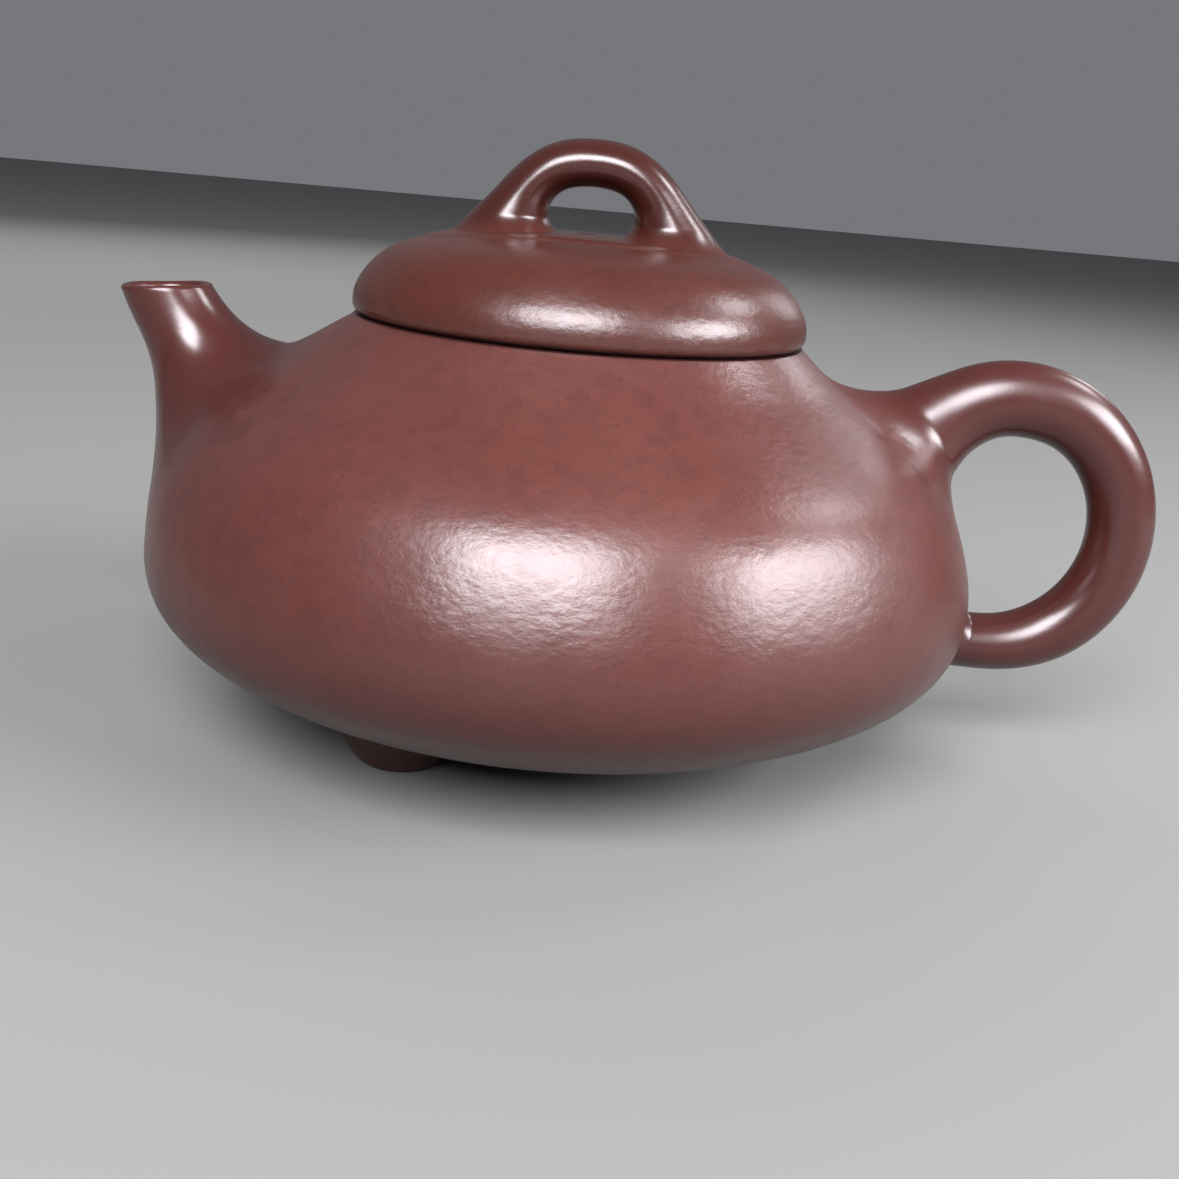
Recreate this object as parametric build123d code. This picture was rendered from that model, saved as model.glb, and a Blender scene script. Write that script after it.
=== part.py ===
from build123d import *
import os
from math import cos, radians, sin

# A slab-built stoneware teapot: low round belly on three nub feet, domed lid with a bridge knob,
# short upturned spout and a round one-finger handle.
# Millimetres. Z is up from the table, the belly's axis is Z, the spout points to -X and the handle to +X.

# Driving dimensions
BASE_Z = 4.5
WALL = 3.0
BASE_R = 27.0
BELLY_R = 57.0
SEAT_Z = 56.5
SEAT_R = 29.5
THROAT_R = 27.0
COLLAR_Z = 51.0
SHOULDER_Z = 48.0
NECK_R = 33.0

# Belly outline (radius, height) from the edge of the base to the lip of the mouth
BELLY_OUTLINE = [
    (BASE_R, BASE_Z),
    (34.0, 5.8),
    (41.5, 8.6),
    (50.4, 13.0),
    (56.0, 19.0),
    (56.9, 26.0),
    (55.0, 33.0),
    (51.4, 40.0),
    (45.0, 45.5),
    (37.4, 50.5),
    (30.4, 56.3),
]
LIP_DIRECTION = (-0.72, 0.69)

# The hollow follows the outline over this share of its length, through this many points
HOLLOW_REACH = 0.945
HOLLOW_POINTS = 18

# Spout stations from mouth to buried root: front point (x, z), back point (x, z), width;
# then the radius of the channel at each of them
SPOUT_STATIONS = [
    ((-62.9, 56.6), (-50.4, 57.4), 12.4),
    ((-61.2, 53.0), (-49.0, 55.1), 12.7),
    ((-59.5, 49.6), (-46.2, 52.9), 13.8),
    ((-58.1, 45.5), (-43.2, 51.3), 16.0),
    ((-57.3, 40.0), (-40.0, 50.6), 20.0),
    ((-57.2, 33.0), (-36.4, 50.6), 25.0),
    ((-52.0, 24.0), (-31.0, 49.5), 28.0),
]
SPOUT_BORE_R = [3.9, 3.9, 4.2, 4.8, 5.4, 6.0, 6.0]

# Strainer
STRAINER_R = 8.8
STRAINER_WALL = 1.2
STRAINER_CENTRE = (-44.6, 40.3)
STRAINER_LEAN = 45.0
STRAINER_HOLE_R = 0.9
STRAINER_RINGS = [(0.0, 1), (24.0, 6), (47.0, 12)]

# Handle: upper root stations as outer point, inner point, width
HANDLE_ROOT = [
    ((33.0, 46.5), (47.0, 34.0), 22.0),
    ((39.0, 50.0), (52.2, 37.6), 17.5),
    ((43.4, 51.2), (53.3, 40.6), 12.8),
    ((49.2, 53.8), (55.2, 43.5), 10.6),
]
# then loop stations about the loop's centre: angle from +X, outer radius, inner radius, width
LOOP_CENTRE = (61.3, 34.8)
HANDLE_LOOP = [
    (105.0, 22.3, 11.5, 9.9),
    (84.0, 22.2, 11.9, 9.6),
    (62.0, 21.8, 12.2, 9.4),
    (38.0, 21.5, 12.3, 9.2),
    (14.0, 21.6, 12.4, 9.0),
    (-10.0, 22.0, 12.7, 8.9),
    (-34.0, 22.5, 13.2, 8.8),
    (-58.0, 22.7, 13.7, 8.8),
    (-82.0, 22.2, 14.1, 9.0),
    (-106.0, 22.5, 14.4, 9.6),
    (-132.0, 24.0, 15.2, 10.6),
]

# Feet
FOOT_RING_R = 29.0
FOOT_FLAT_R = 4.2
FOOT_ANGLES = {"foot_handle_side": 0.0, "foot_back_left": 130.0, "foot_front_left": 230.0}
FOOT_OUTLINE = [(5.8, 0.8), (7.3, 2.4), (8.9, 4.6), (11.1, 7.4), (13.4, 9.4)]
FOOT_TOP_Z = 11.0

# Lid
LID_OUTLINE = [
    (30.75, 57.7),
    (30.4, 60.0),
    (29.0, 62.4),
    (26.0, 65.1),
    (21.0, 66.9),
    (14.0, 68.0),
    (7.0, 68.5),
    (0.0, 68.6),
]
LID_LIP_ROUND = (30.35, 56.85)
LID_WALL = 3.2
LID_RIM_Z = 60.0
LID_ARCH = [(19.5, 63.6), (12.0, 64.9)]
FLANGE_R = 26.7
FLANGE_WALL = 2.6
FLANGE_Z = 44.5
VENT_R = 1.1
VENT_FLARE_R = 2.9
VENT_FLARE_LENGTH = 2.4

# Knob stations from root to crown on the -X side: outer point, inner point, width; the +X side mirrors them
KNOB_STATIONS = [
    ((-20.6, 64.0), (-5.6, 64.0), 15.0),
    ((-17.8, 68.6), (-6.0, 68.6), 12.4),
    ((-14.3, 72.2), (-5.8, 71.2), 10.8),
    ((-11.0, 76.2), (-4.8, 73.2), 10.0),
    ((-6.5, 79.7), (-3.0, 74.4), 9.6),
    ((-2.2, 80.9), (-1.0, 74.75), 9.5),
    ((0.0, 81.0), (0.0, 74.8), 9.5),
]
KNOB_X = 0.4


def at(x, z):
    """A point of the pot's middle plane."""
    return Vector(x, 0, z)


def turned(edges):
    """The solid that a closed outline in the middle plane sweeps around the pot's axis."""
    return revolve(make_face(edges), axis=Axis.Z)


def path(points):
    """Straight edges through the points of the middle plane."""
    return [Line(at(*a), at(*b)) for a, b in zip(points, points[1:])]


def drum(radius, low, high):
    """A solid cylinder about the pot's axis."""
    return Pos(0, 0, low) * Cylinder(radius, high - low, align=(Align.CENTER, Align.CENTER, Align.MIN))


def belly_curve():
    return Spline(
        [at(*p) for p in BELLY_OUTLINE],
        tangents=[(1, 0, 0), (LIP_DIRECTION[0], 0, LIP_DIRECTION[1])],
    )


def belly_solid():
    """The filled outside of the pot without lid, spout, handle and feet."""
    lip = BELLY_OUTLINE[-1]
    closing = path([lip, (SEAT_R, SEAT_Z), (0, SEAT_Z), (0, BASE_Z), (BASE_R, BASE_Z)])
    return turned([belly_curve()] + closing)


def cavity_solid():
    """The hollow inside the pot: the belly outline moved in by the wall, and the throat."""
    outer = belly_curve()
    inner = []
    for i in range(HOLLOW_POINTS):
        along = HOLLOW_REACH * i / (HOLLOW_POINTS - 1)
        tangent = outer.tangent_at(along)
        inner.append(outer.position_at(along) + WALL * Vector(-tangent.Z, 0, tangent.X))
    top = inner[-1]
    floor = inner[0]
    closing = path(
        [(top.X, top.Z), (THROAT_R, COLLAR_Z), (THROAT_R, SEAT_Z), (0, SEAT_Z), (0, floor.Z), (floor.X, floor.Z)]
    )
    return turned([Spline(inner)] + closing)


def station_plane(outer, inner):
    """A plane through two outline points, across the piece, and half the distance between them."""
    a = at(*outer)
    b = at(*inner)
    along = b - a
    return Plane(origin=(a + b) / 2, x_dir=along, z_dir=along.cross(Vector(0, 1, 0))), along.length / 2


def oval(half_x, half_y):
    """An oval face of two halves that always start on the X axis, so that lofts between ovals don't twist."""
    halves = [EllipticalCenterArc((0, 0), half_x, half_y, start, arc_size=180) for start in (0, 180)]
    return make_face(halves)


def loft_stations(stations):
    """A round-bodied piece through oval stations, each an outer point, an inner point and a width."""
    ovals = []
    for outer, inner, width in stations:
        plane, half = station_plane(outer, inner)
        ovals.append(plane * oval(half, width / 2))
    return loft(ovals)


def spout_bore():
    """The channel from the spout's mouth through the belly wall."""
    planes = [station_plane(front, back) for front, back, width in SPOUT_STATIONS]
    return loft([plane * oval(r, r) for (plane, half), r in zip(planes, SPOUT_BORE_R)])


def spout(belly, bore):
    return loft_stations(SPOUT_STATIONS) - belly - bore


def handle(belly):
    stations = list(HANDLE_ROOT)
    for angle, outer_r, inner_r, width in HANDLE_LOOP:
        across = Vector(cos(radians(angle)), 0, sin(radians(angle)))
        outer = at(*LOOP_CENTRE) + outer_r * across
        inner = at(*LOOP_CENTRE) + inner_r * across
        stations.append(((outer.X, outer.Z), (inner.X, inner.Z), width))
    return loft_stations(stations) - belly


def strainer(cavity):
    """A pierced half ball on the inside of the wall, over the channel to the spout."""
    frame = Location(at(*STRAINER_CENTRE)) * Rot(0, 180 - STRAINER_LEAN, 0)
    ball = Sphere(STRAINER_R) - Sphere(STRAINER_R - STRAINER_WALL)
    for lean, count in STRAINER_RINGS:
        for i in range(count):
            drill = Rot(0, 0, 360 * i / count) * Rot(0, lean, 0) * Pos(0, 0, STRAINER_R)
            ball -= drill * Cylinder(STRAINER_HOLE_R, STRAINER_R)
    return (frame * ball) & cavity


def foot(belly, angle):
    """One nub foot, flat below and flaring up into the belly."""
    side = Spline([at(FOOT_FLAT_R, 0)] + [at(*p) for p in FOOT_OUTLINE])
    top = FOOT_OUTLINE[-1]
    closing = path([top, (top[0], FOOT_TOP_Z), (0, FOOT_TOP_Z), (0, 0), (FOOT_FLAT_R, 0)])
    nub = turned([side] + closing)
    return Rot(0, 0, angle) * Pos(FOOT_RING_R, 0, 0) * nub - belly


def lid_outside():
    curve = Spline([at(*p) for p in LID_OUTLINE])
    lip = ThreePointArc(at(SEAT_R, SEAT_Z), at(*LID_LIP_ROUND), at(*LID_OUTLINE[0]))
    return turned([lip, curve] + path([(0, LID_OUTLINE[-1][1]), (0, SEAT_Z), (SEAT_R, SEAT_Z)]))


def lid_hollow():
    """The hollow under the dome, inside the lid's rim."""
    crown = LID_OUTLINE[-1][1] - LID_WALL
    rim_r = FLANGE_R - FLANGE_WALL
    arch = Spline([at(rim_r, LID_RIM_Z)] + [at(*p) for p in LID_ARCH] + [at(0, crown)])
    return turned([arch] + path([(0, crown), (0, SEAT_Z), (rim_r, SEAT_Z), (rim_r, LID_RIM_Z)]))


def vent():
    """The steam hole at the crown, flared below."""
    crown = LID_OUTLINE[-1][1]
    low = crown - LID_WALL - VENT_R
    low_centre = (Align.CENTER, Align.CENTER, Align.MIN)
    flare = Cone(VENT_FLARE_R, VENT_R, VENT_FLARE_LENGTH, align=low_centre)
    return drum(VENT_R, low, crown + VENT_R) + Pos(0, 0, low) * flare


def knob(lid):
    """A bridge knob: half an arch up to its crown, and the mirror image of that half."""
    half = loft_stations(KNOB_STATIONS)
    arch = Pos(KNOB_X, 0, 0) * (half + mirror(half, about=Plane.YZ))
    return arch - lid


def pot_pieces():
    belly = belly_solid()
    cavity = cavity_solid()
    bore = spout_bore()
    shell = belly - cavity
    low = drum(BASE_R, 0, SHOULDER_Z / 2)
    upper = drum(2 * BELLY_R, SHOULDER_Z, 2 * SHOULDER_Z)
    neck = drum(NECK_R, SHOULDER_Z, 2 * SHOULDER_Z)
    pieces = {
        "base_disc": shell & low,
        "body_wall": shell - low - upper - bore,
        "shoulder_disc": (shell & upper) - neck,
        "mouth_ring": shell & neck,
        "spout": spout(belly, bore),
        "spout_strainer": strainer(cavity),
        "handle": handle(belly),
    }
    for name, angle in FOOT_ANGLES.items():
        pieces[name] = foot(belly, angle)
    return pieces


def lid_pieces():
    outside = lid_outside()
    dome = outside - lid_hollow() - vent()
    rim = drum(2 * BELLY_R, SEAT_Z, LID_RIM_Z)
    skirt = drum(FLANGE_R, FLANGE_Z, SEAT_Z) - drum(FLANGE_R - FLANGE_WALL, FLANGE_Z, SEAT_Z)
    return {
        "lid_disc": dome - rim,
        "lid_rim": dome & rim,
        "lid_flange": skirt,
        "lid_knob": knob(outside),
    }


os.makedirs("parts", exist_ok=True)
for node, piece in {**pot_pieces(), **lid_pieces()}.items():
    export_step(piece, f"parts/{node}.step")
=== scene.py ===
from math import comb, copysign, cos, radians, sin, tau

import bmesh
import bpy
import numpy as np
from mathutils import Matrix, Vector
from mathutils.bvhtree import BVHTree


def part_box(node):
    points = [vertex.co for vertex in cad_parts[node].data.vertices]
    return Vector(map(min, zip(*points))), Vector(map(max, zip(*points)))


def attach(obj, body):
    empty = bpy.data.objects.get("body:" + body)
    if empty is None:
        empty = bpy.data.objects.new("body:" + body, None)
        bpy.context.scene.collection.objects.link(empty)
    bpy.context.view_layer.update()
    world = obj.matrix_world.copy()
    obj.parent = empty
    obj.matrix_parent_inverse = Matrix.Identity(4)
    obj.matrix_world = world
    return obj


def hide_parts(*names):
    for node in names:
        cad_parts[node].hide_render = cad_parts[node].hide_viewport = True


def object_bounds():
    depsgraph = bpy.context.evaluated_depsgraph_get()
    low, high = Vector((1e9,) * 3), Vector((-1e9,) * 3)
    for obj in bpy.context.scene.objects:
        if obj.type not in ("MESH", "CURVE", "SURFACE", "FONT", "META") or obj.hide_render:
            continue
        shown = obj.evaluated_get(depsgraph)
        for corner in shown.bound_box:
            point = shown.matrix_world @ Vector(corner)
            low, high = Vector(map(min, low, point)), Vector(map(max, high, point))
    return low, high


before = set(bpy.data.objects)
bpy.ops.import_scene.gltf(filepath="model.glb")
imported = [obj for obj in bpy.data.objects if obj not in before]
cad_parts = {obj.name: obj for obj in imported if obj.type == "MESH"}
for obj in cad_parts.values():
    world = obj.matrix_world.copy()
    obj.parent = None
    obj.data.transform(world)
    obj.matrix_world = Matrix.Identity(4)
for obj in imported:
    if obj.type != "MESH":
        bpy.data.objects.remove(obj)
cad_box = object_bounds()

# ---------------------------------------------------------------- sizes, in millimetres
MM = 0.001
# How deep a piece's edge lies in the skin that it joins, and how far outside a search for that skin starts
SINK = 0.025
SKIN_REACH = 60.0
# Where the searches head for on the axis: low inside the belly, and far under the lid
BELLY_CENTRE_Z = 27.0
LID_CENTRE_Z = -400.0
# A flare's shape. Each line keeps its first direction for one share of its length and hugs the skin for
# another. Its second control point lies FLARE_SECOND times as far out as its first.
FLARE_LEAVE = 0.18
FLARE_SECOND = 1.9
FLARE_HUG = 0.2

# Spout, mouth to root: front point (x, z), back point (x, z), width
SPOUT_STATIONS = [
    ((-62.7, 56.4), (-50.6, 57.3), 12.0),
    ((-61.4, 53.3), (-49.2, 55.4), 12.4),
    ((-59.7, 49.9), (-46.9, 53.1), 13.4),
    ((-58.3, 46.0), (-44.1, 51.4), 16.0),
    ((-57.65, 41.8), (-41.4, 50.6), 21.0),
]
# Where the root ends on the belly, how square that outline is, and how far the root bulges before it
SPOUT_FOOTPRINT = ((-52.5, 12.5), (-30.0, 56.5), 60.0)
SPOUT_FOOTPRINT_POWER = 0.8
SPOUT_FULL = 0.08
# Lip, from the outside to the bore: share of the way across, and height; its tilt and its waves
SPOUT_LIP = [(0.08, 0.28), (0.25, 0.44), (0.5, 0.5), (0.75, 0.42), (0.92, 0.24)]
LIP_TILT = -0.07
LIP_WAVE = 0.15
LIP_WAVES = 3
LIP_WAVE_START = 0.7
# Bore, mouth to root, as in SPOUT_STATIONS
SPOUT_BORE = [
    ((-61.3, 56.4), (-52.0, 57.1), 9.2),
    ((-59.6, 52.8), (-51.0, 54.9), 8.6),
    ((-57.0, 49.2), (-48.8, 52.6), 8.4),
    ((-54.6, 45.8), (-46.0, 50.6), 9.4),
    ((-52.2, 40.6), (-42.4, 47.4), 11.0),
    ((-48.6, 34.6), (-38.8, 41.2), 11.6),
]

# Handle: stations from the upper root, then the loop as angle, outer radius, inner radius, width
HANDLE_FOOTPRINT_TOP = ((33.6, 54.0), (56.6, 29.0), 30.0)
HANDLE_ROOT = [
    ((46.2, 52.3), (54.0, 41.4), 11.9),
    ((50.0, 54.1), (55.3, 43.6), 10.5),
]
LOOP_CENTRE = (61.3, 34.8)
HANDLE_LOOP = [
    (105.0, 22.3, 11.6, 9.9),
    (84.0, 22.2, 11.9, 9.6),
    (62.0, 21.9, 12.2, 9.4),
    (38.0, 21.6, 12.3, 9.2),
    (14.0, 21.6, 12.4, 9.0),
    (-10.0, 22.0, 12.7, 8.9),
    (-34.0, 22.5, 13.2, 8.8),
    (-58.0, 22.7, 13.7, 8.8),
    (-82.0, 22.2, 14.1, 9.0),
    (-97.0, 22.2, 14.3, 9.3),
]
HANDLE_FOOTPRINT_LOW = ((48.6, 12.0), (56.8, 23.8), 15.0)

# Knob: one leg from its root to the crown; the other mirrors it about x = KNOB_X
KNOB_X = 0.4
KNOB_FOOTPRINT = ((-21.0, 66.9), (-3.6, 68.6), 17.5)
KNOB_STATIONS = [
    ((-15.6, 70.9), (-5.7, 70.6), 11.0),
    ((-13.2, 73.6), (-5.6, 72.0), 10.2),
    ((-10.6, 76.6), (-4.7, 73.4), 9.8),
    ((-6.5, 79.7), (-3.0, 74.4), 9.6),
    ((-2.2, 80.9), (-1.0, 74.75), 9.5),
    ((0.0, 81.0), (0.0, 74.8), 9.5),
]
# The knob's oval base: half its length and width, then its height over the dome by distance from its middle
PAD_HALF = (23.0, 13.5)
PAD_PROFILE = [(0.0, 0.15), (0.3, 0.2), (0.62, 0.28), (0.84, 0.36), (0.93, 0.24), (1.0, 0.0)]
PAD_TOP_Z = 68.0
# The seam between lid and pot, where painted shade darkens the clay, and the steam vent in the middle of the
# lid
SEAM_Z = 56.6
SEAM_R = 30.0
VENT_R = 1.12
VENT_DEPTH = 1.2

# Feet: radius and height of the outline from the flat end, and the ring that it flares out to
FOOT_OUTLINE = [(3.4, 0.0), (4.3, 0.06), (5.2, 0.4), (5.9, 1.0), (6.6, 1.9), (7.3, 2.9)]
FOOT_FOOTPRINT_R = 13.5
FOOT_FOOTPRINT_Z = 6.5
FLAT_TOLERANCE = 0.01

# How rubbed the less handled places are, from 0 to 1
PAD_RUB = 0.7
FOOT_RUB = 0.5
BORE_RUB = 0.4

# ---------------------------------------------------------------- camera and light
CAMERA_TARGET = (4.58, 0.0, 19.11)
CAMERA_DISTANCE = 202.36
CAMERA_ELEVATION = 16.50
CAMERA_ROLL = 5.09
CAMERA_LENS = 42.75
CAMERA_NEAREST = 5.0

# Soft lamps: name, azimuth (0 towards the camera, 90 to +X) and elevation in degrees, then distance, width and
# height in metres, and power in watts
WINDOWS = [
    ("front_window", -6, 38, 0.9, 0.58, 0.46, 25),
    ("right_window", 70, 26, 0.9, 0.58, 0.34, 16),
    ("far_window", 113, 42, 0.9, 0.20, 0.15, 1.8),
    ("back_window", 142, 20, 0.9, 0.12, 0.20, 0.45),
]
BACK_FILL = ("back_fill", 205, 30, 1.0, 0.90, 0.60, 7)
WINDOW_TARGET = (0, 0, 0.04)
WINDOW_TINT = (0.95, 0.97, 1.0)
SKY_COLOUR = (0.90, 0.93, 1.0, 1)
SKY_STRENGTH = 0.2
FLOOR_COLOUR = (0.155, 0.15, 0.145, 1)
FLOOR_ROUGHNESS = 0.7
FLOOR_HALF = 3.0

# ---------------------------------------------------------------- clay
# Two reds for each clay, which drift into each other in clouds
POT_RED = (0.0580, 0.0160, 0.0134)
POT_WARM = (0.0650, 0.0176, 0.0134)
LID_RED = (0.0410, 0.0100, 0.0070)
LID_WARM = (0.0475, 0.0112, 0.0070)
INNER_RED = (0.062, 0.023, 0.021)
INNER_WARM = (0.071, 0.026, 0.021)
POT_ROUGHNESS = 0.33
LID_ROUGHNESS = 0.31
INNER_ROUGHNESS = 0.62
INNER_LEATHER = 1.4
CLAY_IOR = 1.53
CLAY_SPECULAR_TINT = (1, 0.94, 0.96, 1)
RUB_POLISH = 0.07
# Noise scales, in cycles a metre, for the colour and the roughness
CLOUD_SCALE = 30
MOTTLE_SCALE = 380
IRON_SCALE = 2100
SAND_SCALE = 2900
SMEAR_SCALE = 230
PATCH_SCALE = 70
# The relief's four layers: noise scale, and depth in millimetres
WAVE_SCALE, WAVE_DEPTH = 48, 0.16
SKIN_SCALE, SKIN_DEPTH = 570, 0.062
FINE_SCALE, FINE_DEPTH = 1400, 0.016
GRIT_SCALE, GRIT_DEPTH = 3400, 0.004
# The Mix node's sockets for two colours and their mixture
COLOUR_A, COLOUR_B, COLOUR_OUT = 6, 7, 2
# Smears left by the potter's tool: place, radius and depth, in millimetres
TOOL_MARKS = [((-39.5, -22.5, 44.5), 9.0, 0.16), ((43.5, -12.0, 44.0), 9.0, 0.06)]


# ---------------------------------------------------------------- mesh helpers
def cubic_path(points, count):
    """count + 1 points on a natural cubic spline through the given ones, by distance along them."""
    p = np.array(points, float)
    knots = np.concatenate([[0.0], np.cumsum(np.linalg.norm(np.diff(p, axis=0), axis=1))])
    n = len(p)
    gaps = np.diff(knots)
    slopes = np.diff(p, axis=0) / gaps[:, None]
    system = np.eye(n)
    pull = np.zeros_like(p)
    for i in range(1, n - 1):
        system[i, i - 1 : i + 2] = gaps[i - 1], 2 * (gaps[i - 1] + gaps[i]), gaps[i]
        pull[i] = 6 * (slopes[i] - slopes[i - 1])
    bend = np.linalg.solve(system, pull)
    out = []
    for s in np.linspace(0, knots[-1], count + 1):
        i = min(np.searchsorted(knots, s, side="right") - 1, n - 2)
        h = gaps[i]
        a = (knots[i + 1] - s) / h
        b = 1 - a
        curve = (a**3 - a) * bend[i] + (b**3 - b) * bend[i + 1]
        out.append(a * p[i] + b * p[i + 1] + curve * h * h / 6)
    return np.array(out)


def ring(outer, inner, width, segments, x_shift=0.0, power=1.0):
    """An oval of points across the pot's middle plane, from the outer point; a power under 1 squares it."""
    centre = Vector(((outer[0] + inner[0]) / 2 + x_shift, 0, (outer[1] + inner[1]) / 2))
    half = Vector(((outer[0] - inner[0]) / 2, 0, (outer[1] - inner[1]) / 2))
    side = Vector((0, width / 2, 0))
    points = []
    for i in range(segments):
        c, s = cos(tau * i / segments), sin(tau * i / segments)
        c, s = copysign(abs(c) ** power, c), copysign(abs(s) ** power, s)
        points.append((centre + half * c + side * s) * MM)
    return points


def tube(stations, count, segments, x_shift=0.0):
    """Rings along a row of (outer point, inner point, width) stations."""
    flat = [(*outer, *inner, width) for outer, inner, width in stations]
    rows = cubic_path(flat, count)
    return [ring(row[0:2], row[2:4], row[4], segments, x_shift) for row in rows]


class Skin:
    """The outside of some CAD nodes, as it is met on the way in towards a centre on the pot's axis."""

    def __init__(self, centre_z, *nodes):
        points = []
        faces = []
        for node in nodes:
            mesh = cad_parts[node].data
            start = len(points)
            points.extend(v.co.copy() for v in mesh.vertices)
            faces.extend([start + i for i in f.vertices] for f in mesh.polygons)
        self.tree = BVHTree.FromPolygons(points, faces)
        self.centre = Vector((0, 0, centre_z * MM))

    def touch(self, point):
        """Where the line from outside through a point meets the skin, and the outward normal there."""
        out = (point - self.centre).normalized()
        start = point + out * SKIN_REACH * MM
        spot, normal, _, _ = self.tree.ray_cast(start, -out)
        around = Vector((spot.x, spot.y, 0)).normalized()
        radial = Vector((normal.x, normal.y, 0)).length
        return spot, (around * radial + Vector((0, 0, normal.z))).normalized()


def flare_curve(skin, start, previous, foot, full):
    """Six control points for one line of a flare: three off the tube, three on the skin."""
    spot, normal = skin.touch(foot)
    span = (spot - start).length
    heading = (start - previous).normalized()
    agreement = max(0.0, heading.dot(spot - start) / span)
    heading = heading * span * FLARE_LEAVE * agreement**2
    inward = start - spot
    inward = (inward - normal * inward.dot(normal)).normalized() * span * FLARE_HUG
    landing = []
    for step, lift in ((2, full), (1, 0), (0, 0)):
        point, up = skin.touch(spot + inward * step)
        landing.append(point + up * (span * lift - SINK * MM))
    return [start, start + heading, start + heading * FLARE_SECOND] + landing


def flare(skin, last, before, footprint, count, full=0.0):
    """Rings that leave the last ring in the direction it was going and run out along the skin.

    full is how far each line stands off the skin before it lands, as a share of its length.
    """
    curves = [flare_curve(skin, *points, full) for points in zip(last, before, footprint)]
    rows = []
    for i in range(1, count + 1):
        s = i / count
        weights = [comb(5, k) * s**k * (1 - s) ** (5 - k) for k in range(6)]
        rows.append([sum((p * w for p, w in zip(curve, weights)), Vector()) for curve in curves])
    return rows


def fading(count):
    """How rubbed each of a flare's rings is: smooth next to the tube, like the skin at the foot."""
    return [(1 + cos(tau / 2 * i / count)) / 2 for i in range(1, count + 1)]


def lattice(name, rows, rub, capped=False):
    """A smooth mesh through rings of points, each rubbed smooth by a share from 0 to 1."""
    bm = bmesh.new()
    share = bm.verts.layers.float.new("rub")
    verts = []
    for row, amount in zip(rows, rub):
        verts.append([bm.verts.new(p) for p in row])
        for vert in verts[-1]:
            vert[share] = amount
    for low, high in zip(verts, verts[1:]):
        for i in range(len(low)):
            j = (i + 1) % len(low)
            bm.faces.new((low[i], low[j], high[j], high[i]))
    if capped:
        middle = bm.verts.new(sum((Vector(p) for p in rows[0]), Vector()) / len(rows[0]))
        for i in range(len(verts[0])):
            bm.faces.new((verts[0][i], verts[0][(i + 1) % len(verts[0])], middle))
    bmesh.ops.recalc_face_normals(bm, faces=bm.faces)
    return as_piece(name, bm)


def as_piece(name, bm):
    """A smooth-shaded object in the scene, made from a bmesh."""
    mesh = bpy.data.meshes.new(name)
    bm.to_mesh(mesh)
    bm.free()
    mesh.shade_smooth()
    piece = bpy.data.objects.new(name, mesh)
    bpy.context.scene.collection.objects.link(piece)
    return piece


def settle(piece, material, body, slot, *nodes):
    """Gives a piece its clay, its body and the CAD nodes that it stands for."""
    piece.data.materials.clear()
    piece.data.materials.append(material)
    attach(piece, body)
    if nodes:
        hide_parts(*nodes)


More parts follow.
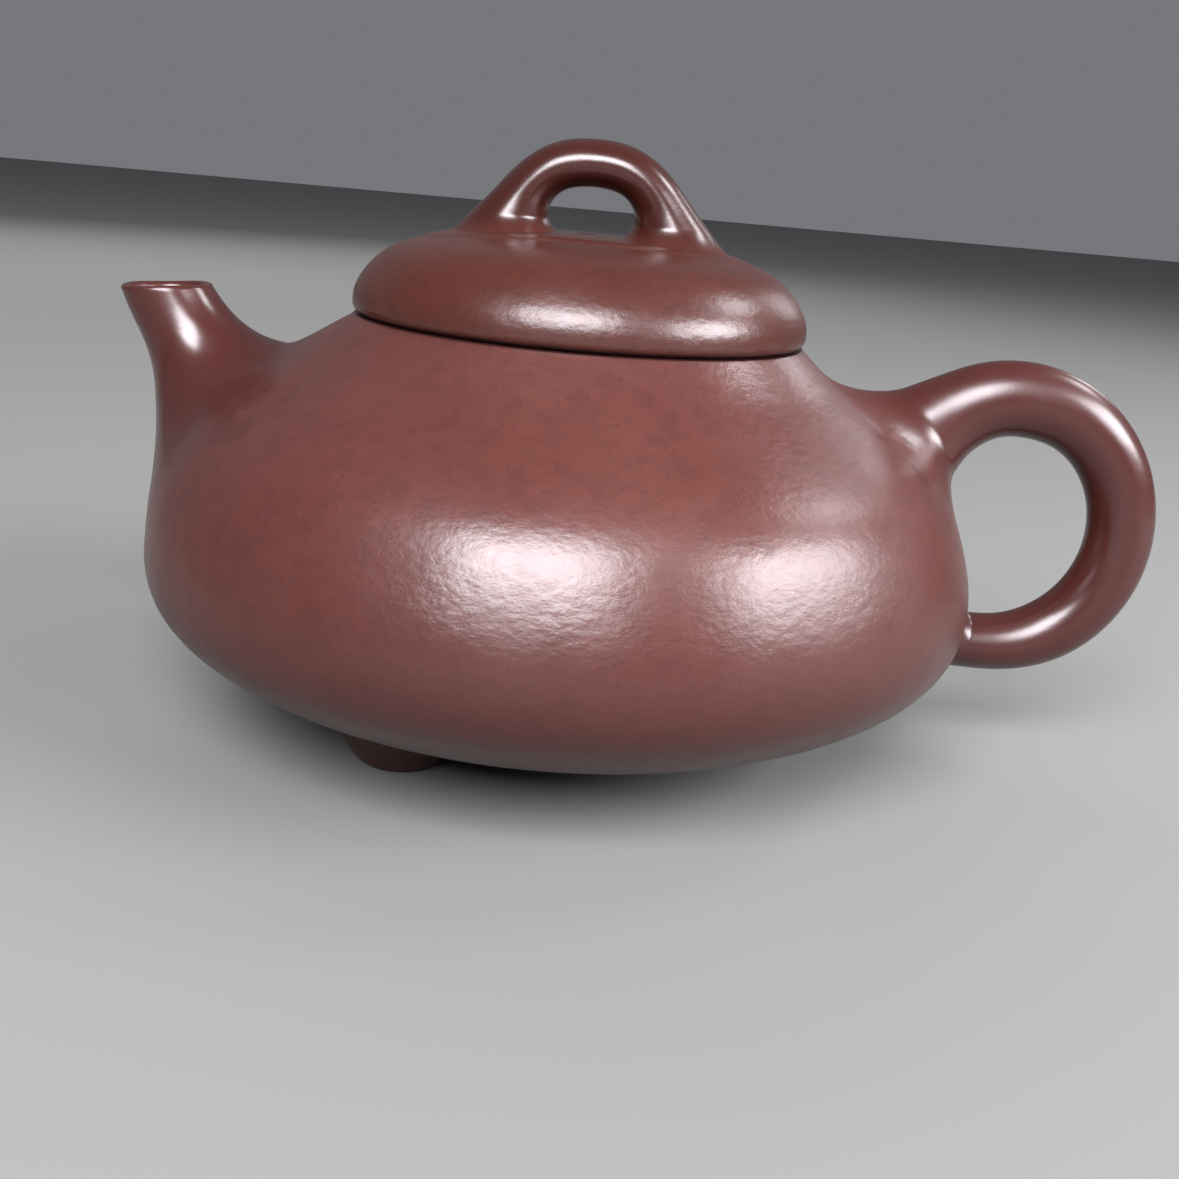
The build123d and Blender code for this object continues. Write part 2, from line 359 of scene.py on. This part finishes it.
# ---------------------------------------------------------------- materials
class Clay:
    """Builds a fired unglazed clay from noise in the pot's own space, so it runs on from piece to piece."""

    def __init__(self, name, colour):
        self.colour = colour
        self.material = bpy.data.materials.new(name)
        self.material.use_nodes = True
        self.tree = self.material.node_tree
        self.shader = self.tree.nodes["Principled BSDF"]
        self.place = self.add("TexCoord").outputs["Object"]

    def add(self, kind):
        return self.tree.nodes.new("ShaderNode" + kind)

    def link(self, value, socket):
        """Sets a socket to a number or a colour, or links it to another node's output."""
        if isinstance(value, bpy.types.NodeSocket):
            self.tree.links.new(value, socket)
        else:
            socket.default_value = value

    def noise(self, scale, detail, stretch=(1, 1, 1), rough=0.5):
        """Noise of a scale in cycles a metre, squeezed along the axes by stretch."""
        mapping = self.add("Mapping")
        mapping.inputs["Scale"].default_value = stretch
        texture = self.add("TexNoise")
        texture.inputs["Scale"].default_value = scale
        texture.inputs["Detail"].default_value = detail
        texture.inputs["Roughness"].default_value = rough
        self.link(self.place, mapping.inputs["Vector"])
        self.link(mapping.outputs["Vector"], texture.inputs["Vector"])
        return texture.outputs["Fac"]

    def spread(self, value, low, high, out_low=0.0, out_high=1.0):
        """Maps low..high onto out_low..out_high, with soft ends."""
        node = self.add("MapRange")
        node.interpolation_type = "SMOOTHSTEP"
        node.inputs["From Min"].default_value = low
        node.inputs["From Max"].default_value = high
        node.inputs["To Min"].default_value = out_low
        node.inputs["To Max"].default_value = out_high
        self.link(value, node.inputs["Value"])
        return node.outputs["Result"]

    def maths(self, operation, first, second):
        node = self.add("Math")
        node.operation = operation
        self.link(first, node.inputs[0])
        self.link(second, node.inputs[1])
        return node.outputs["Value"]

    def mix(self, factor, first, second):
        """The first colour where the factor is 0, and the second where it is 1."""
        node = self.add("Mix")
        node.data_type = "RGBA"
        self.link(factor, node.inputs["Factor"])
        self.link(first, node.inputs[COLOUR_A])
        self.link(second, node.inputs[COLOUR_B])
        return node.outputs[COLOUR_OUT]

    def shade(self, factor, tint=(1, 1, 1)):
        """The clay's own colour, lighter or darker by a factor, and tinted."""
        return (*(c * t * factor for c, t in zip(self.colour, tint)), 1)

    def height(self):
        """Height over the table, in millimetres."""
        split = self.add("SeparateXYZ")
        self.link(self.place, split.inputs["Vector"])
        return self.maths("DIVIDE", split.outputs["Z"], MM)

    def radius(self):
        """Distance from the pot's axis, in millimetres."""
        flat = self.add("VectorMath")
        flat.operation = "MULTIPLY"
        self.link(self.place, flat.inputs[0])
        flat.inputs[1].default_value = (1 / MM, 1 / MM, 0)
        length = self.add("VectorMath")
        length.operation = "LENGTH"
        self.link(flat.outputs["Vector"], length.inputs[0])
        return length.outputs["Value"]

    def rubbed(self):
        """The share from 0 to 1 by which a piece was smoothed by hand."""
        node = self.add("Attribute")
        node.attribute_name = "rub"
        return node.outputs["Fac"]

    def around(self, point, radius):
        """1 at a point of the pot, falling to 0 at a radius, both in millimetres."""
        node = self.add("VectorMath")
        node.operation = "DISTANCE"
        self.link(self.place, node.inputs[0])
        node.inputs[1].default_value = [c * MM for c in point]
        return self.spread(node.outputs["Value"], radius * MM, radius * 0.25 * MM)

    def bump(self, layers):
        """Stacks (height, depth in millimetres) layers and gives the normal to the shader."""
        normal = None
        for height, depth in layers:
            node = self.add("Bump")
            node.inputs["Distance"].default_value = depth * MM
            self.link(height, node.inputs["Height"])
            if normal is not None:
                self.link(normal, node.inputs["Normal"])
            normal = node.outputs["Normal"]
        self.link(normal, self.shader.inputs["Normal"])


def grain(c, warm):
    """Cloudy red with mottling, dark iron specks and pale sand."""
    clouds = c.mix(c.spread(c.noise(CLOUD_SCALE, 4), 0.3, 0.7), c.shade(1), (*warm, 1))
    mottle = c.mix(c.spread(c.noise(MOTTLE_SCALE, 5), 0.4, 0.75, 0, 0.45), clouds, c.shade(0.72))
    iron = c.mix(c.spread(c.noise(IRON_SCALE, 2), 0.66, 0.72, 0, 0.5), mottle, c.shade(0.35))
    speck = c.spread(c.noise(SAND_SCALE, 2, (1, 1, 1.2)), 0.68, 0.75, 0, 0.55)
    return c.mix(speck, iron, c.shade(2.2, (1, 1.1, 1.1)))


def painted_shade_and_patina(c, colour, height, rub):
    """Painted shade near the table and in the seam under the lid, and a darker patina where hands smooth the
    clay.
    """
    # Painted shade: the clay's colour darkens towards the table
    painted_low_shade = c.mix(c.spread(height, 2, 42, 0.95, 0), colour, c.shade(0.4, (1, 0.5, 0.4)))
    handled = c.mix(c.spread(rub, 0, 1, 0, 0.8), painted_low_shade, c.shade(0.58, (1, 0.78, 0.74)))
    # Painted shade: a dark band along the seam between lid and pot, within SEAM_R of the axis
    off_seam = c.maths("ABSOLUTE", c.maths("SUBTRACT", height, SEAM_Z), 0)
    inside = c.spread(c.radius(), SEAM_R + 2, SEAM_R + 1, 0, 0.85)
    painted_seam_shade = c.maths("MULTIPLY", inside, c.spread(off_seam, 0.55, 0.2))
    return c.mix(painted_seam_shade, handled, c.shade(0.2))


def leathery(c, rub, leather):
    """Layers of relief: slow waves, the leathery skin and two finer grains, calmer where rubbed."""
    skin = c.noise(SKIN_SCALE, 3, (1, 1, 1.7), 0.55)
    fine = c.noise(FINE_SCALE, 3)
    smooth = c.spread(rub, 0, 1, 1, 0.22)
    return [
        (c.noise(WAVE_SCALE, 2), WAVE_DEPTH),
        (c.maths("MULTIPLY", skin, smooth), SKIN_DEPTH * leather),
        (c.maths("MULTIPLY", fine, smooth), FINE_DEPTH * leather),
        (c.noise(GRIT_SCALE, 2), GRIT_DEPTH),
    ]


def clay(name, colour, warm, roughness, leather=1.0, marks=()):
    """Sandy grain, a leathery skin, cloudy colour with painted shade low down and in the seam, and a sheen
    from handling.
    """
    c = Clay(name, colour)
    rub = c.rubbed()
    height = c.height()
    layers = leathery(c, rub, leather)
    # The grain, with painted shade low down and in the seam, and the darker patina of handling
    coloured = painted_shade_and_patina(c, grain(c, warm), height, rub)
    for point, radius, depth in marks:
        smear = c.spread(c.noise(SMEAR_SCALE, 1.5), 0.36, 0.66)
        mark = c.maths("MULTIPLY", c.around(point, radius), smear)
        layers.append((mark, -depth))
        coloured = c.mix(c.maths("MULTIPLY", mark, 0.6), coloured, c.shade(0.5))
    c.link(coloured, c.shader.inputs["Base Color"])
    c.bump(layers)
    patchy = c.spread(c.noise(PATCH_SCALE, 5), 0.3, 0.7, roughness - 0.04, roughness + 0.05)
    dull = c.maths("ADD", patchy, c.spread(height, 2, 26, 0.14, 0))
    worn = c.maths("MULTIPLY", rub, RUB_POLISH)
    c.link(c.maths("SUBTRACT", dull, worn), c.shader.inputs["Roughness"])
    c.shader.inputs["Specular Tint"].default_value = CLAY_SPECULAR_TINT
    c.shader.inputs["IOR"].default_value = CLAY_IOR
    return c.material


# ---------------------------------------------------------------- pieces
def spout(pot_skin, material):
    """The bent spout with its rounded lip, its bore and its root in the belly."""
    segments = 120
    outside = tube(SPOUT_STATIONS, count=40, segments=segments)
    footprint = ring(*SPOUT_FOOTPRINT, segments, power=SPOUT_FOOTPRINT_POWER)
    root = flare(pot_skin, outside[-1], outside[-2], footprint, count=56, full=SPOUT_FULL)
    bore = tube(SPOUT_BORE, count=36, segments=segments)
    lip = []
    turns = [tau * i / segments for i in range(segments)]
    waves = [1 + LIP_WAVE * sin(LIP_WAVES * t + LIP_WAVE_START) for t in turns]
    for across, rise in SPOUT_LIP:
        up = Vector((LIP_TILT, 0, 1)) * rise * MM
        lip.append([a.lerp(b, across) + up * w for a, b, w in zip(outside[0], bore[0], waves)])
    rows = list(reversed(root)) + list(reversed(outside)) + lip + bore
    rub = list(reversed(fading(len(root)))) + [1.0] * (len(outside) + len(lip)) + [BORE_RUB] * len(bore)
    settle(lattice("spout_shell", rows, rub), material, "pot", "pot_clay", "spout")


def handle(pot_skin, material):
    """The loop handle with both of its roots in the belly."""
    segments = 96
    stations = list(HANDLE_ROOT)
    for angle, outer, inner, width in HANDLE_LOOP:
        x, z = cos(radians(angle)), sin(radians(angle))
        near = (LOOP_CENTRE[0] + outer * x, LOOP_CENTRE[1] + outer * z)
        far = (LOOP_CENTRE[0] + inner * x, LOOP_CENTRE[1] + inner * z)
        stations.append((near, far, width))
    loop = tube(stations, count=150, segments=segments)
    top = flare(pot_skin, loop[0], loop[1], ring(*HANDLE_FOOTPRINT_TOP, segments), count=40)
    low = flare(pot_skin, loop[-1], loop[-2], ring(*HANDLE_FOOTPRINT_LOW, segments), count=24)
    rows = list(reversed(top)) + loop + low
    rub = list(reversed(fading(len(top)))) + [1.0] * len(loop) + fading(len(low))
    settle(lattice("handle_loop", rows, rub), material, "pot", "pot_clay", "handle")


def knob(lid_skin, material):
    """The bridge-shaped knob, from one root over the crown to the other."""
    segments = 80
    mirrored = [((-o[0], o[1]), (-i[0], i[1]), w) for o, i, w in reversed(KNOB_STATIONS[:-1])]
    arch = tube(KNOB_STATIONS + mirrored, count=110, segments=segments, x_shift=KNOB_X)
    outer, inner, width = KNOB_FOOTPRINT
    near = ring(outer, inner, width, segments, KNOB_X)
    far = ring((-outer[0], outer[1]), (-inner[0], inner[1]), width, segments, KNOB_X)
    first = flare(lid_skin, arch[0], arch[1], near, count=28)
    second = flare(lid_skin, arch[-1], arch[-2], far, count=28)
    rows = list(reversed(first)) + arch + second
    rub = list(reversed(fading(len(first)))) + [1.0] * len(arch) + fading(len(second))
    settle(lattice("knob_bridge", rows, rub), material, "lid", "lid_clay", "lid_knob")


def knob_pad(lid_skin, material):
    """The low oval base of clay that the bridge stands on, scooped in the middle round the steam hole."""
    segments = 128
    turns = [tau * i / segments for i in range(segments)]
    rows = []
    for reach, rise in cubic_path(PAD_PROFILE, count=40):
        half_x = VENT_R + (PAD_HALF[0] - VENT_R) * reach
        half_y = VENT_R + (PAD_HALF[1] - VENT_R) * reach
        row = []
        for t in turns:
            place = Vector((KNOB_X * reach + half_x * cos(t), half_y * sin(t), PAD_TOP_Z)) * MM
            spot, normal = lid_skin.touch(place)
            row.append(spot + normal * (rise - SINK) * MM)
        rows.append(row)
    hole = [p - Vector((0, 0, VENT_DEPTH * MM)) for p in rows[0]]
    rub = [PAD_RUB * (1 - i / len(rows)) for i in range(len(rows) + 1)]
    pad = lattice("knob_pad", [hole] + rows, rub)
    settle(pad, material, "lid", "lid_clay")


def foot(pot_skin, node, material):
    """A nub foot that flares out into the belly."""
    segments = 72
    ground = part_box(node)[0].z
    flat = [v.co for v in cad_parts[node].data.vertices if v.co.z < ground + FLAT_TOLERANCE * MM]
    middle = sum(flat, Vector()) / len(flat)
    turns = [tau * i / segments for i in range(segments)]

    def circle(radius, height):
        return [middle + Vector((radius * cos(t), radius * sin(t), height)) * MM for t in turns]

    rows = [circle(r, z) for r, z in cubic_path(FOOT_OUTLINE, count=22)]
    footprint = circle(FOOT_FOOTPRINT_R, FOOT_FOOTPRINT_Z)
    flared = flare(pot_skin, rows[-1], rows[-2], footprint, count=20)
    rub = [FOOT_RUB] * len(rows) + [0.0] * len(flared)
    nub = lattice(node + "_nub", rows + flared, rub, capped=True)
    settle(nub, material, "pot", "pot_clay", node)


# ---------------------------------------------------------------- setting
def floor():
    """A plain pale floor at the height of the feet."""
    mesh = bpy.data.meshes.new("floor")
    bm = bmesh.new()
    bmesh.ops.create_grid(bm, x_segments=1, y_segments=1, size=FLOOR_HALF)
    bm.to_mesh(mesh)
    bm.free()
    plane = bpy.data.objects.new("floor", mesh)
    bpy.context.scene.collection.objects.link(plane)
    material = bpy.data.materials.new("floor_paint")
    material.use_nodes = True
    shader = material.node_tree.nodes["Principled BSDF"]
    shader.inputs["Base Color"].default_value = FLOOR_COLOUR
    shader.inputs["Roughness"].default_value = FLOOR_ROUGHNESS
    mesh.materials.append(material)
    plane.location.z = cad_box[0].z


def window(name, azimuth, elevation, distance, width, height, power):
    """A soft area light seen from the pot at an azimuth (0 towards the camera, 90 to +X) and elevation."""
    light = bpy.data.lights.new(name, "AREA")
    light.shape = "RECTANGLE"
    light.size = width
    light.size_y = height
    light.energy = power
    light.color = WINDOW_TINT
    lamp = bpy.data.objects.new(name, light)
    bpy.context.scene.collection.objects.link(lamp)
    a, e = radians(azimuth), radians(elevation)
    direction = Vector((sin(a) * cos(e), -cos(a) * cos(e), sin(e)))
    lamp.location = Vector(WINDOW_TARGET) + direction * distance
    lamp.rotation_euler = direction.to_track_quat("Z", "Y").to_euler()
    return lamp


def sky():
    """An even pale light from all round."""
    world = bpy.data.worlds.new("studio")
    bpy.context.scene.world = world
    world.use_nodes = True
    background = world.node_tree.nodes["Background"]
    background.inputs["Color"].default_value = SKY_COLOUR
    background.inputs["Strength"].default_value = SKY_STRENGTH


def tones():
    """Plain tones, so that colours come out as they are set."""
    bpy.context.scene.view_settings.view_transform = "Standard"


def camera():
    """Looks at the pot from its front, a little from above, tilted about its own line of sight."""
    data = bpy.data.cameras.new("camera")
    data.lens = CAMERA_LENS
    data.clip_start = CAMERA_NEAREST * MM
    rig = bpy.data.objects.new("camera", data)
    bpy.context.scene.collection.objects.link(rig)
    lift, roll = radians(CAMERA_ELEVATION), radians(CAMERA_ROLL)
    back = Vector((0, -cos(lift), sin(lift)))
    right = Vector((1, 0, 0))
    up = back.cross(right)
    rolled_right = right * cos(roll) + up * sin(roll)
    rolled_up = up * cos(roll) - right * sin(roll)
    turn = Matrix((rolled_right, rolled_up, back)).transposed().to_4x4()
    place = (Vector(CAMERA_TARGET) + back * CAMERA_DISTANCE) * MM
    rig.matrix_world = Matrix.Translation(place) @ turn
    bpy.context.scene.camera = rig


# ---------------------------------------------------------------- build
pot_clay = clay("pot_clay", POT_RED, POT_WARM, POT_ROUGHNESS, marks=TOOL_MARKS)
lid_clay = clay("lid_clay", LID_RED, LID_WARM, LID_ROUGHNESS)
inner_clay = clay("inner_clay", INNER_RED, INNER_WARM, INNER_ROUGHNESS, INNER_LEATHER)

for node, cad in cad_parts.items():
    cad.data.materials.clear()
    cad.data.materials.append(lid_clay if node.startswith("lid") else pot_clay)
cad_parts["spout_strainer"].data.materials[0] = inner_clay

pot_skin = Skin(BELLY_CENTRE_Z, "body_wall", "shoulder_disc", "mouth_ring", "base_disc")
lid_skin = Skin(LID_CENTRE_Z, "lid_disc", "lid_rim")
spout(pot_skin, pot_clay)
handle(pot_skin, pot_clay)
knob(lid_skin, lid_clay)
knob_pad(lid_skin, lid_clay)
for node in ("foot_front_left", "foot_back_left", "foot_handle_side"):
    foot(pot_skin, node, pot_clay)

floor()
sky()
tones()
for lamp in WINDOWS:
    window(*lamp)
window(*BACK_FILL).visible_glossy = False
camera()
